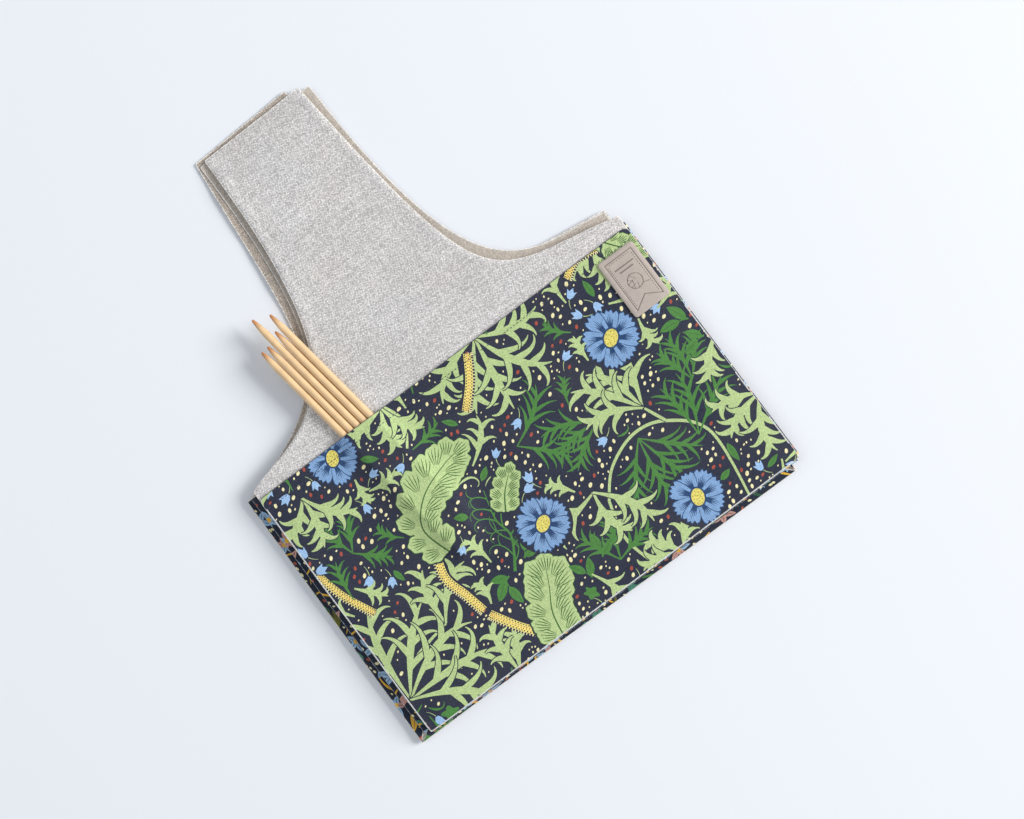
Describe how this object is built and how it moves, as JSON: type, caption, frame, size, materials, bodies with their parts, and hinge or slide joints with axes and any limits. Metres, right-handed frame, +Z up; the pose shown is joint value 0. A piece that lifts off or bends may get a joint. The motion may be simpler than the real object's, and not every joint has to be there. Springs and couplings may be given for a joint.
{
  "type": "knitting project bag",
  "caption": "Flat linen knitting bag with a wide strap, printed outside pockets, pleated gusset, faux-leather label and double-pointed needles in the pocket.",
  "frame": {"origin": "middle of the bag's base edge, at the height of the table it lies on, on the back pocket's flat underside", "axes": "+X across the bag to the right, +Y from the base up to the strap's end, +Z up from the table towards the front pocket"},
  "size_m": [0.374, 0.484, 0.02],
  "materials": {
    "linen": "heathered plain-weave linen",
    "pocket_print": null,
    "gusset_print": null,
    "lining_cotton": "plain-weave natural cotton",
    "label_leather": "matt faux leather, debossed",
    "thread": "polyester sewing thread",
    "bamboo": "smooth waxed bamboo"
  },
  "bodies": {
    "back_half": {"back_pocket": "pocket_print", "back_pocket_lining": "lining_cotton", "back_panel": "linen", "back_lining": "lining_cotton", "left_gusset_back": "gusset_print", "right_gusset_back": "gusset_print", "base_gusset_back": "gusset_print"},
    "back_strap": {"back_strap": "linen", "back_strap_lining": "linen"},
    "front_half": {"left_gusset_front": "gusset_print", "right_gusset_front": "gusset_print", "base_gusset_front": "gusset_print", "front_lining": "lining_cotton", "front_panel": "linen", "front_pocket_lining": "lining_cotton", "front_pocket": "pocket_print", "pocket_hem_stitching": "thread", "label": "label_leather", "label_stitching": "thread"},
    "front_strap": {"front_strap": "linen", "front_strap_lining": "linen"},
    "needle_1": {"needle_1": "bamboo"},
    "needle_2": {"needle_2": "bamboo"},
    "needle_3": {"needle_3": "bamboo"},
    "needle_4": {"needle_4": "bamboo"},
    "needle_5": {"needle_5": "bamboo"}
  },
  "joints": [
    {"name": "mouth_open", "type": "hinge", "parent": "back_half", "child": "front_half", "pos_m": [0, -0.004, 0.0065], "axis": [1, 0, 0], "range_deg": [0, 24]},
    {"name": "back_strap_bend", "type": "hinge", "parent": "back_half", "child": "back_strap", "pos_m": [0, 0.235, 0.0065], "axis": [1, 0, 0], "range_deg": [0, 24]},
    {"name": "front_strap_bend", "type": "hinge", "parent": "front_half", "child": "front_strap", "pos_m": [0, 0.235, 0.0065], "axis": [1, 0, 0], "range_deg": [-24, 0]},
    {"name": "needle_1_slide", "type": "slide", "parent": "front_half", "child": "needle_1", "axis": [-0.1426, 0.9898, 0], "range_m": [-0.02, 0.13]},
    {"name": "needle_2_slide", "type": "slide", "parent": "front_half", "child": "needle_2", "axis": [-0.1426, 0.9898, 0], "range_m": [-0.02, 0.13]},
    {"name": "needle_3_slide", "type": "slide", "parent": "front_half", "child": "needle_3", "axis": [-0.1426, 0.9898, 0], "range_m": [-0.02, 0.13]},
    {"name": "needle_4_slide", "type": "slide", "parent": "front_half", "child": "needle_4", "axis": [-0.1426, 0.9898, 0], "range_m": [-0.02, 0.13]},
    {"name": "needle_5_slide", "type": "slide", "parent": "front_half", "child": "needle_5", "axis": [-0.1426, 0.9898, 0], "range_m": [-0.02, 0.13]}
  ],
  "couplings": [
    {"joint": "back_strap_bend", "follows": "mouth_open", "ratio": 1},
    {"joint": "front_strap_bend", "follows": "mouth_open", "ratio": -1}
  ]
}
